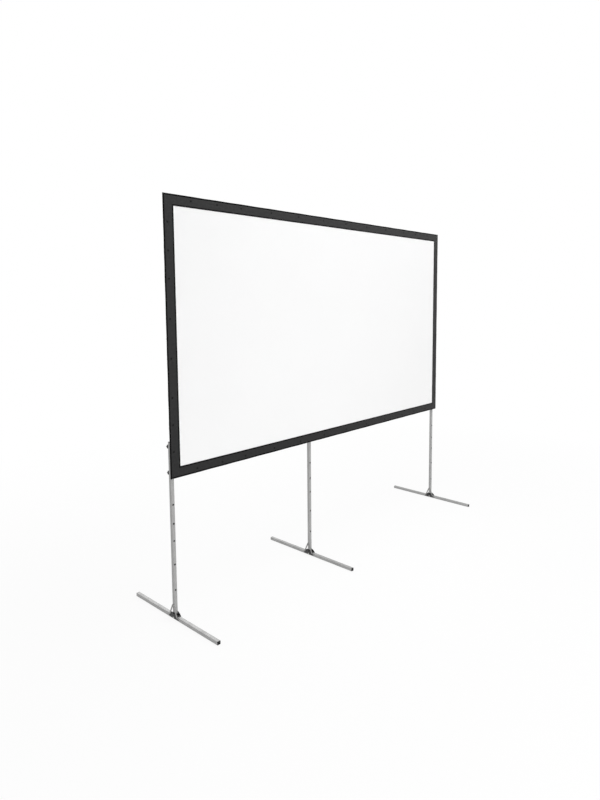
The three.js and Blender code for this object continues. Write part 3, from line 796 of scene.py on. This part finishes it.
for pin, halves in hinge_halves.items():
    low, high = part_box(pin)
    centre = (low + high) / 2
    half = (high.y - low.y) / 2
    for node, kind, out, along in halves:
        hardware.setdefault(node, []).extend(hinge_half(kind, centre, out, along))
    neck = half - PIN_HEAD_HEIGHT
    shank = [(0, -half), (PIN_RADIUS, PIN_LEAD - half), (PIN_RADIUS, neck), (PIN_HEAD, neck)]
    rod = turned(shank + dome(PIN_HEAD, half - PIN_HEAD_CROWN, PIN_HEAD_CROWN, 4), HINGE_STEPS)
    rod = place(rod, seated(centre, TO_BACK))
    fit_piece(rod, f"{pin}_turning", body_of_node[pin], zinc, [pin])
for node, parts in hardware.items():
    fit_piece(gather(parts), f"hinge_fittings_{node}", body_of_node[node], zinc)

# Border: black satin-coated webbing sewn into a ring round the sheet, with binding tape along both
# edges and a press stud every 240 to 350 mm. The parts on rigid corners move with them, and the
# lengths on the folding sides ride on the base.
BORDER = 0.100
STUD_INSET = 0.040
LONG_PITCH, LONG_GAPS = 0.275, 7
SHORT_PITCH, SHORT_GAPS = 0.241, 3
CORNER_STUDS = 3
BORDER_FRONT = 0.0530
BORDER_CLOTH = 0.0010
TUBE_EDGE = 0.024
OUTER_TAPE = 0.0145
INNER_TAPE = 0.0125
TAPE_STEP = 0.0015
TAPE_HEIGHT = 0.0005
CURL = 0.0032
CURL_POWER = 1.6
SCALLOP = 0.0012
STUD_DIP = 0.0012
STUD_DIP_RADIUS = 0.014
PUCKER = 0.00045
PUCKER_REACH = 0.050
PUCKER_FOLDS = 7
PUCKER_PHASES = (9, 5)
PUCKER_LIMIT = 0.200
PUCKER_END = 0.080
PUCKER_FADE = 0.020
SWELL = 0.0004
SWELL_WAVE = 0.31
CORNER_BLEND = 0.04
GRID = 0.006
ACROSS_SHARES = (0, 0.02, 0.06, 0.10, 0.13, 0.145, 0.16, 0.2, 0.25, 0.3, 0.35, 0.4, 0.45, 0.5, 0.56, 0.63,
                 0.7, 0.77, 0.83, 0.86, 0.875, 0.89, 0.93, 0.97, 1)
BORDER_BODIES = {"bottom": "base", "top": "top", "left": "base", "right": "base"}
cloth_low, cloth_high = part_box("border")
CLOTH_LEFT, CLOTH_RIGHT = cloth_low.x, cloth_high.x
CLOTH_BOTTOM, CLOTH_TOP = cloth_low.z, cloth_high.z
ARM_TOP = middle_of("left_pin_lower", 2)
ARM_BOTTOM = middle_of("left_pin_upper", 2)


def stud_places(start, end, pitch, gaps):
    """Places along one side: three close ones at each corner, and the rest shared out evenly."""
    near = [pitch * (i + 1) for i in range(CORNER_STUDS)]
    gap = (end - start - 2 * near[-1]) / gaps
    between = [near[-1] + gap * (i + 1) for i in range(gaps - 1)]
    return [start + p for p in near + between] + [end - p for p in reversed(near)]


long_studs = stud_places(CLOTH_LEFT, CLOTH_RIGHT, LONG_PITCH, LONG_GAPS)
short_studs = stud_places(CLOTH_BOTTOM, CLOTH_TOP, SHORT_PITCH, SHORT_GAPS)
studs = [(x, z) for x in long_studs for z in (CLOTH_BOTTOM + STUD_INSET, CLOTH_TOP - STUD_INSET)]
studs += [(x, z) for z in short_studs for x in (CLOTH_LEFT + STUD_INSET, CLOTH_RIGHT - STUD_INSET)]


def hills(x, z, wave):
    """A smooth, repeatable unevenness from minus one to one, with this wave length."""
    u, v = math.tau * x / wave, math.tau * z / wave
    along = math.sin(u + 1.3 * math.sin(0.7 * v))
    upwards = math.sin(0.83 * v + 1.7 * math.sin(0.61 * u))
    return (along + upwards + math.sin(0.57 * (u + v))) / 3


def from_edges(x, z):
    """How far a point of the cloth lies in from the nearest outer edge."""
    return min(x - CLOTH_LEFT, CLOTH_RIGHT - x, z - CLOTH_BOTTOM, CLOTH_TOP - z)


def swell(x, z):
    """A broad unevenness along each side, the same right across it, that blends at the corners."""
    over = min(z - CLOTH_BOTTOM, CLOTH_TOP - z) - min(x - CLOTH_LEFT, CLOTH_RIGHT - x)
    upright = min(1, max(0, 0.5 + over / CORNER_BLEND))
    return SWELL * ((1 - upright) * hills(x, 0, SWELL_WAVE) + upright * hills(0, z, SWELL_WAVE))


def pucker_depth(x, z):
    """The dip and the soft folds round each press stud."""
    depth = 0
    for stud_x, stud_z in studs:
        across, over = x - stud_x, z - stud_z
        if max(abs(across), abs(over)) < PUCKER_LIMIT:
            away = math.hypot(across, over)
            phase = PUCKER_PHASES[0] * stud_x + PUCKER_PHASES[1] * stud_z
            folds = math.cos(PUCKER_FOLDS * math.atan2(over, across) + phase)
            depth -= STUD_DIP * math.exp(-((away / STUD_DIP_RADIUS) ** 2))
            depth += PUCKER * folds * (away / PUCKER_REACH) * math.exp(1 - (away / PUCKER_REACH) ** 2)
    return depth


def border_depth(x, z):
    """How far the cloth's front stands forward of the level at which it is snapped on."""
    inset = from_edges(x, z)
    depth = swell(x, z)
    if inset < TUBE_EDGE:
        depth -= CURL * (1 - inset / TUBE_EDGE) ** CURL_POWER
    if inset < OUTER_TAPE:
        depth += TAPE_HEIGHT * min(1, (OUTER_TAPE - inset) / TAPE_STEP)
    if inset > BORDER - INNER_TAPE:
        depth += TAPE_HEIGHT * min(1, (inset - BORDER + INNER_TAPE) / TAPE_STEP)
    if inset < PUCKER_END:
        depth += pucker_depth(x, z) * min(1, (PUCKER_END - inset) / PUCKER_FADE)
    return depth


def edge_pull(along, places):
    """How far the edge draws in between two neighbouring studs."""
    before = max((p for p in places if p <= along), default=None)
    after = min((p for p in places if p > along), default=None)
    if before is None or after is None:
        return 0
    return SCALLOP * math.sin(math.pi * (along - before) / (after - before)) ** 2


def flat_strip(start, end, mitred_start, mitred_end):
    """A flat strip of border drawn along X from start to end, with its outer edge at height zero."""
    steps = max(2, round((end - start) / GRID))
    mesh = bmesh.new()
    bmesh.ops.create_grid(mesh, x_segments=steps, y_segments=len(ACROSS_SHARES) - 1, size=0.5)
    columns = {}
    for vert in mesh.verts:
        column = round((vert.co.x + 0.5) * steps)
        row = round((vert.co.y + 0.5) * (len(ACROSS_SHARES) - 1))
        across = ACROSS_SHARES[row] * BORDER
        first = start + (across if mitred_start else 0)
        last = end - (across if mitred_end else 0)
        columns[vert] = (first + (last - first) * column / steps, across)
    for vert, (x, z) in columns.items():
        vert.co = (x, 0, z)
    return mesh


def keep_layout(mesh):
    """Keeps the flat place of every corner as a UV map, which the cloth's patterns follow."""
    layout = mesh.loops.layers.uv.new("cloth")
    for face in mesh.faces:
        for loop in face.loops:
            loop[layout].uv = (loop.vert.co.x, loop.vert.co.z)


def face_front(mesh):
    """Turns a sheet's faces towards the audience."""
    bmesh.ops.recalc_face_normals(mesh, faces=mesh.faces)
    if sum(f.normal.y for f in mesh.faces) > 0:
        bmesh.ops.reverse_faces(mesh, faces=mesh.faces)
    return mesh


def shape_border(mesh):
    """Raises the flat cloth to its relief, and draws its outer edge in between the studs."""
    keep_layout(mesh)
    for vert in mesh.verts:
        x, z = vert.co.x, vert.co.z
        inset = from_edges(x, z)
        pull = max(0, 1 - inset / STUD_INSET)
        vert.co.y = -(BORDER_FRONT + border_depth(x, z))
        if min(x - CLOTH_LEFT, CLOTH_RIGHT - x) > inset + SAME_PLACE:
            hand = 1 if z < (CLOTH_BOTTOM + CLOTH_TOP) / 2 else -1
            vert.co.z += hand * pull * edge_pull(x, long_studs)
        elif min(z - CLOTH_BOTTOM, CLOTH_TOP - z) > inset + SAME_PLACE:
            hand = 1 if x < 0 else -1
            vert.co.x += hand * pull * edge_pull(z, short_studs)
    return face_front(mesh)


WEAVE_PER_METRE = 1500
WEAVE_HEIGHT = 0.00012
RUBS_PER_METRE = 42
RUBBED = (0.0, 1.0, 0.35, 0.65)
RUBBED_GLOSS = 0.08
RUBBED_BROKEN = 0.7
CRINKLES_PER_METRE = 50
CRINKLE_HEIGHT = 0.0022
BORDER_COLOURS = ((0.0085, 0.0085, 0.0087, 1), (0.0135, 0.0135, 0.0138, 1))
BORDER_GLOSS, BORDER_ROUGHNESS = 0.25, 0.45
TAPE_COLOURS = ((0.002, 0.002, 0.0021, 1), (0.0035, 0.0035, 0.0036, 1))
TAPE_GLOSS, TAPE_ROUGHNESS = 0.03, 0.6


def cloth_finish(name, colours, gloss, roughness):
    """Woven cloth on the flat layout: crossed threads, soft crinkles and a faint rubbed unevenness."""
    finish, tree, shader = new_finish(name, colours[0], roughness)
    shader.inputs["Specular IOR Level"].default_value = gloss
    threads = [
        grain(tree, stretch, detail=1.0, layout="cloth")
        for stretch in ((WEAVE_PER_METRE, 1, 1), (1, WEAVE_PER_METRE, 1))
    ]
    rub = grain(tree, [RUBS_PER_METRE] * 3, detail=5.0, layout="cloth", broken=RUBBED_BROKEN)
    worn = spread(tree, rub, *RUBBED)
    tree.links.new(two_colours(tree, worn, *colours), shader.inputs["Base Color"])
    mottle(tree, shader, worn, (roughness + RUBBED_GLOSS, roughness - RUBBED_GLOSS, 0.0, 1.0))
    crinkle = grain(tree, [CRINKLES_PER_METRE] * 3, detail=4.0, layout="cloth")
    creased = relief(tree, shader, crinkle, CRINKLE_HEIGHT)
    relief(tree, shader, reckon(tree, "MAXIMUM", *threads), WEAVE_HEIGHT, creased)
    return finish


border_finish = cloth_finish("black_border", BORDER_COLOURS, BORDER_GLOSS, BORDER_ROUGHNESS)
tape_finish = cloth_finish("black_binding_tape", TAPE_COLOURS, TAPE_GLOSS, TAPE_ROUGHNESS)


def bind_edges(piece):
    """Gives the outer and inner edges their binding tape, and keeps the seams to the next part crisp."""
    data = piece.data
    data.materials.append(tape_finish)
    layout = data.uv_layers["cloth"].data
    for face in data.polygons:
        flat = sum((layout[i].uv for i in face.loop_indices), Vector((0, 0))) / len(face.loop_indices)
        inset = from_edges(*flat)
        face.material_index = int(inset < OUTER_TAPE or inset > BORDER - INNER_TAPE)
    for edge in data.edges:
        heights = [data.vertices[i].co.z for i in edge.vertices]
        if any(all(abs(h - seam) < SAME_PLACE for h in heights) for seam in (ARM_TOP, ARM_BOTTOM)):
            edge.use_edge_sharp = True


def thicken(piece, thickness):
    """Gives a sheet its thickness behind its front face."""
    solid = piece.modifiers.new("thickness", "SOLIDIFY")
    solid.thickness = thickness
    solid.offset = -1
    solid.use_even_offset = False


def upright_strip(side, low, high, mitred_low=False, mitred_high=False):
    """A flat strip up the left or right side, with its outer edge on the cloth's edge."""
    hand, edge = (1, CLOTH_LEFT) if side == "left" else (-1, CLOTH_RIGHT)
    strip = flat_strip(low, high, mitred_low, mitred_high)
    return place(strip, Matrix(((0, 0, hand, edge), (0, 1, 0, 0), (1, 0, 0, 0), (0, 0, 0, 1))))


SEAM_WELD = 0.0002
border_pieces = {}
for level in LEVELS:
    strip = flat_strip(CLOTH_LEFT, CLOTH_RIGHT, True, True)
    if level == "bottom":
        place(strip, lifted(CLOTH_BOTTOM))
        arms = [upright_strip(side, CLOTH_BOTTOM, ARM_TOP, mitred_low=True) for side in SIDES]
    else:
        place(strip, lifted(CLOTH_TOP) @ Matrix.Diagonal((1, 1, -1, 1)))
        arms = [upright_strip(side, ARM_BOTTOM, CLOTH_TOP, mitred_high=True) for side in SIDES]
    ring_part = gather([strip] + arms)
    bmesh.ops.remove_doubles(ring_part, verts=ring_part.verts, dist=SEAM_WELD)
    border_pieces[level] = shape_border(ring_part)
for side in SIDES:
    border_pieces[side] = shape_border(upright_strip(side, ARM_TOP, ARM_BOTTOM))
for name, body in BORDER_BODIES.items():
    piece = fit_piece(border_pieces[name], f"border_{name}", body, border_finish, ["border"])
    bind_edges(piece)
    thicken(piece, BORDER_CLOTH)
    if name in LEVELS:
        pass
    else:
        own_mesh(piece)

# Press studs: a black lacquered cap on the front of the border over each nickel socket behind it,
# which snaps over a stud riveted to the tube.
LACQUER_COLOUR = (0.0025, 0.0025, 0.0026, 1)
LACQUER_ROUGHNESS = (0.34, 0.5)
LACQUER_GLOSS = 0.12
LACQUER_GRAIN_PER_METRE = 400
CAP_LIFT = 0.0004
CAP_PROFILE = (
    (0, -0.0006), (0.0088, -0.0006), (0.0092, 0.0005), (0.0086, 0.0012), (0.006624, 0.0016),
    (0.00414, 0.0013), (0, 0.0012),
)
CAP_STEPS = 24
SOCKET_BORE = 0.003
SOCKET_RADIUS = 0.0062
SOCKET_ROUND = (0.0008, 0.0005)
SOCKET_OVERLAP = 0.0001
STUD_PROFILE = ((0, -0.0002), (0.0052, -0.0002), (0.0052, 0.0004), (0.0030, 0.0006), (0.0030, 0.0009))
STUD_BUTTON = (0.0027, 0.0009, 0.0003)
STUD_STEPS = 20
STUD_TOP = 0.0496
lacquer, lacquer_tree, lacquer_shader = new_finish("black_lacquer", LACQUER_COLOUR, LACQUER_ROUGHNESS[0])
lacquer_shader.inputs["Specular IOR Level"].default_value = LACQUER_GLOSS
chips = grain(lacquer_tree, [LACQUER_GRAIN_PER_METRE] * 3, detail=3.0)
mottle(lacquer_tree, lacquer_shader, chips, LACQUER_ROUGHNESS)


def snap_cap(x, z):
    """A cap with a rolled rim and a slight dish in its middle, seated on the dip in the cloth."""
    front = BORDER_FRONT + border_depth(x, z) + CAP_LIFT
    return place(turned(CAP_PROFILE, CAP_STEPS), seated((x, -front, z), TO_FRONT))


def snap_socket(x, z):
    """The socket behind the cloth, open towards the stud."""
    back = BORDER_FRONT + border_depth(x, z) - BORDER_CLOTH
    deep = back - STUD_TOP + SOCKET_OVERLAP
    ring = [
        (SOCKET_BORE, 0), (SOCKET_RADIUS, 0), (SOCKET_RADIUS, deep - SOCKET_ROUND[1]),
        (SOCKET_RADIUS - SOCKET_ROUND[0], deep), (SOCKET_BORE, deep),
    ]
    return place(turned(ring + ring[:1], STUD_STEPS), seated((x, -back, z), TO_BACK))


def stud_button(x, z):
    """The stud on the tube: a flange and a low button."""
    stud = turned(list(STUD_PROFILE) + dome(*STUD_BUTTON, 3), STUD_STEPS)
    return place(stud, seated((x, -TUBE_FACE, z), TO_FRONT))


def owner(x, z):
    """Which part of the border a stud holds."""
    if z < ARM_TOP:
        return "bottom"
    if z > ARM_BOTTOM:
        return "top"
    return "left" if x < 0 else "right"


for name, body in BORDER_BODIES.items():
    mine = [(x, z) for x, z in studs if owner(x, z) == name]
    caps = gather([snap_cap(x, z) for x, z in mine])
    caps = fit_piece(caps, f"snap_caps_{name}", body, lacquer)
    sockets = gather([snap_socket(x, z) for x, z in mine])
    sockets = fit_piece(sockets, f"snap_sockets_{name}", body, zinc)
    if name in SIDES:
        for piece in (caps, sockets):
            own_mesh(piece)
middle_z = (ARM_TOP + ARM_BOTTOM) / 2
by_body = {}
for x, z in studs:
    name = owner(x, z)
    body = BORDER_BODIES[name]
    if name in SIDES:
        body = f"side_{'lower' if z < middle_z else 'upper'}_{name}"
    by_body.setdefault(body, []).append(stud_button(x, z))
for body, parts in by_body.items():
    fit_piece(gather(parts), f"stud_buttons_{body}", body, zinc)

# Stitches: two rows of black thread round the border, one through the hem and one along the seam
# to the sheet, each stitch a short hump between two needle holes.
THREAD_COLOUR = (0.03, 0.03, 0.031, 1)
THREAD_ROUGHNESS = (0.5, 0.75)
FUZZ_PER_METRE = 3000
STITCH_PITCH = 0.006
STITCH_LENGTH = 0.0046
STITCH_WIDTH = 0.0007
HEM_ROW = 0.0078
SEAM_ROW = BORDER - 0.0035
thread_finish, thread_tree, thread_shader = new_finish("black_thread", THREAD_COLOUR, THREAD_ROUGHNESS[0])
mottle(thread_tree, thread_shader, grain(thread_tree, [FUZZ_PER_METRE] * 3), THREAD_ROUGHNESS)


def stitch(along_x, x, z):
    """One stitch laid on the cloth: a long low hump."""
    mesh = bmesh.new()
    bmesh.ops.create_icosphere(mesh, subdivisions=1, radius=0.5)
    size = [STITCH_WIDTH] * 3
    size[0 if along_x else 2] = STITCH_LENGTH
    front = BORDER_FRONT + border_depth(x, z)
    return place(mesh, Matrix.Translation((x, -front, z)) @ Matrix.Diagonal((*size, 1)))


def stitch_row(start, end, fixed, along_x):
    count = int((end - start) / STITCH_PITCH)
    offset = (end - start - (count - 1) * STITCH_PITCH) / 2
    places = [start + offset + i * STITCH_PITCH for i in range(count)]
    return [stitch(True, p, fixed) if along_x else stitch(False, fixed, p) for p in places]


for name, body in BORDER_BODIES.items():
    rows = []
    for inset in (HEM_ROW, SEAM_ROW):
        left, right = CLOTH_LEFT + inset, CLOTH_RIGHT - inset
        bottom, top = CLOTH_BOTTOM + inset, CLOTH_TOP - inset
        if name in LEVELS:
            rows += stitch_row(left, right, bottom if name == "bottom" else top, True)
        low, high, edges = {
            "bottom": (bottom, ARM_TOP, (left, right)),
            "top": (ARM_BOTTOM, top, (left, right)),
            "left": (ARM_TOP, ARM_BOTTOM, (left,)),
            "right": (ARM_TOP, ARM_BOTTOM, (right,)),
        }[name]
        for edge in edges:
            rows += stitch_row(low, high, edge, False)
    thread = fit_piece(gather(rows), f"stitches_{name}", body, thread_finish)
    if name in SIDES:
        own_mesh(thread)

# Projection surface: one seamless sheet of matt white vinyl, stretched in the border and sewn
# behind its inner edge. It has a fine emboss, and is very slightly drawn towards the studs.
WHITE_COLOURS = ((0.91, 0.91, 0.91, 1), (0.93, 0.93, 0.93, 1))
WHITE_ROUGHNESS = (0.66, 0.78)
EMBOSS_PER_METRE = 700
EMBOSS_HEIGHT = 0.00008
CLOUDS_PER_METRE = 1.1
LAP_GAP = 0.0004
SHEET_CLOTH = 0.0006
SHEET_GRID = 0.02
SHEET_SWELL = 0.00025
SHEET_SWELL_WAVE = 0.9
SHEET_DRAW = 0.0003
SHEET_DRAW_REACH = 0.2
SHEET_DRAW_WAVE = 0.11
SHEET_EVEN = 0.06
SHEET_BLEND = 0.08
sheet_low, sheet_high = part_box("projection_surface")
sheet_width, sheet_height = sheet_high.x - sheet_low.x, sheet_high.z - sheet_low.z
sheet_front = BORDER_FRONT - BORDER_CLOTH - LAP_GAP


def sheet_depth(x, z):
    """The sheet follows the border behind and beside it, and has its own swells further in."""
    reach = max(0, from_edges(x, z) - BORDER)
    blend = min(1, max(0, (reach - SHEET_EVEN) / SHEET_BLEND))
    draws = SHEET_DRAW * math.cos(math.tau * (x + z) / SHEET_DRAW_WAVE)
    draws *= math.exp(-((reach / SHEET_DRAW_REACH) ** 2))
    return (1 - blend) * swell(x, z) + blend * (SHEET_SWELL * hills(x, z, SHEET_SWELL_WAVE) + draws)


surface = bmesh.new()
columns, rows = round(sheet_width / SHEET_GRID), round(sheet_height / SHEET_GRID)
bmesh.ops.create_grid(surface, x_segments=columns, y_segments=rows, size=0.5)
for vert in surface.verts:
    x, z = vert.co.x * sheet_width, vert.co.y * sheet_height + (sheet_low.z + sheet_high.z) / 2
    vert.co = (x, -(sheet_front + sheet_depth(x, z)), z)
keep_layout(surface)
face_front(surface)
white_finish, white_tree, white_shader = new_finish("white_sheet", WHITE_COLOURS[0], WHITE_ROUGHNESS[0])
tone = grain(white_tree, [CLOUDS_PER_METRE] * 3, detail=3.0, layout="cloth")
mottle(white_tree, white_shader, tone, WHITE_ROUGHNESS, WHITE_COLOURS)
emboss = grain(white_tree, [EMBOSS_PER_METRE] * 3, layout="cloth")
relief(white_tree, white_shader, emboss, EMBOSS_HEIGHT)
sheet = fit_piece(surface, "projection_sheet", "base", white_finish, ["projection_surface"])
thicken(sheet, SHEET_CLOTH)
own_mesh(sheet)

# Studio: a white floor that keeps a faint shadow near the object, a white world behind it for the
# camera and for reflections, and large soft lamps in front, above and behind at a plain level.
FLOOR_SIZE = 60
FLOOR_LEVEL = -0.001
FLOOR_COLOUR = (0.95, 0.95, 0.95, 1)
FLOOR_WHITE = 0.89
FLOOR_FADE = (2.8, 7.0)
WORLD_LIGHT = 0.5
LAMPS = (
    ("softbox", (5.0, -6.2, 6.2), (0, 0, 2.9), (8.0, 3.4), 140),
    ("fill", (-1.8, -7.0, 1.6), (-0.8, 0, 2.0), (4.0, 2.4), 124),
    ("overhead", (0.3, -1.3, 8.2), (0, 0, 0), (5.0, 4.0), 150),
    ("back", (1.5, 7.0, 4.6), (0, 0, 2.3), (7.0, 3.4), 175),
)


def seen_directly(tree):
    """One for rays from the camera and for reflected and transmitted ones, else zero."""
    path = tree.nodes.new("ShaderNodeLightPath")
    seen = path.outputs["Is Camera Ray"]
    for name in ("Is Glossy Ray", "Is Transmission Ray"):
        seen = reckon(tree, "MAXIMUM", seen, path.outputs[name])
    return seen


world = bpy.data.worlds.new("studio")
bpy.context.scene.world = world
world.use_nodes = True
world_tree = world.node_tree
background = world_tree.nodes["Background"]
background.inputs["Color"].default_value = (1, 1, 1, 1)
world_light = spread(world_tree, seen_directly(world_tree), WORLD_LIGHT, 1.0, 0.0, 1.0)
world_tree.links.new(world_light, background.inputs["Strength"])
floor_mesh = bmesh.new()
bmesh.ops.create_grid(floor_mesh, x_segments=1, y_segments=1, size=FLOOR_SIZE / 2)
floor_data = bpy.data.meshes.new("floor")
place(floor_mesh, lifted(FLOOR_LEVEL)).to_mesh(floor_data)
floor_mesh.free()
floor = bpy.data.objects.new("floor", floor_data)
bpy.context.scene.collection.objects.link(floor)
floor_finish = bpy.data.materials.new("floor")
floor_finish.use_nodes = True
floor_tree = floor_finish.node_tree
floor_tree.nodes.clear()
matt = add_node(floor_tree, "ShaderNodeBsdfDiffuse", Color=FLOOR_COLOUR)
glow = add_node(floor_tree, "ShaderNodeEmission", Color=(1, 1, 1, 1), Strength=1.0)
away = floor_tree.nodes.new("ShaderNodeVectorMath")
away.operation = "LENGTH"
feed(floor_tree, away.inputs[0], floor_tree.nodes.new("ShaderNodeTexCoord").outputs["Object"])
whiteness = spread(floor_tree, away.outputs["Value"], FLOOR_WHITE, 1.0, *FLOOR_FADE)
share = reckon(floor_tree, "MULTIPLY", whiteness, seen_directly(floor_tree))
blend = floor_tree.nodes.new("ShaderNodeMixShader")
for socket, value in zip(blend.inputs, (share, matt.outputs["BSDF"], glow.outputs["Emission"])):
    feed(floor_tree, socket, value)
add_node(floor_tree, "ShaderNodeOutputMaterial", Surface=blend.outputs["Shader"])
floor_data.materials.append(floor_finish)
for name, spot, target, size, power in LAMPS:
    lamp = bpy.data.lights.new(name, "AREA")
    lamp.shape = "RECTANGLE"
    lamp.size, lamp.size_y = size
    lamp.energy = power
    holder = bpy.data.objects.new(name, lamp)
    towards = (Vector(target) - Vector(spot)).to_track_quat("-Z", "Y")
    holder.matrix_world = Matrix.Translation(spot) @ towards.to_matrix().to_4x4()
    bpy.context.scene.collection.objects.link(holder)
bpy.context.scene.view_settings.view_transform = "Standard"
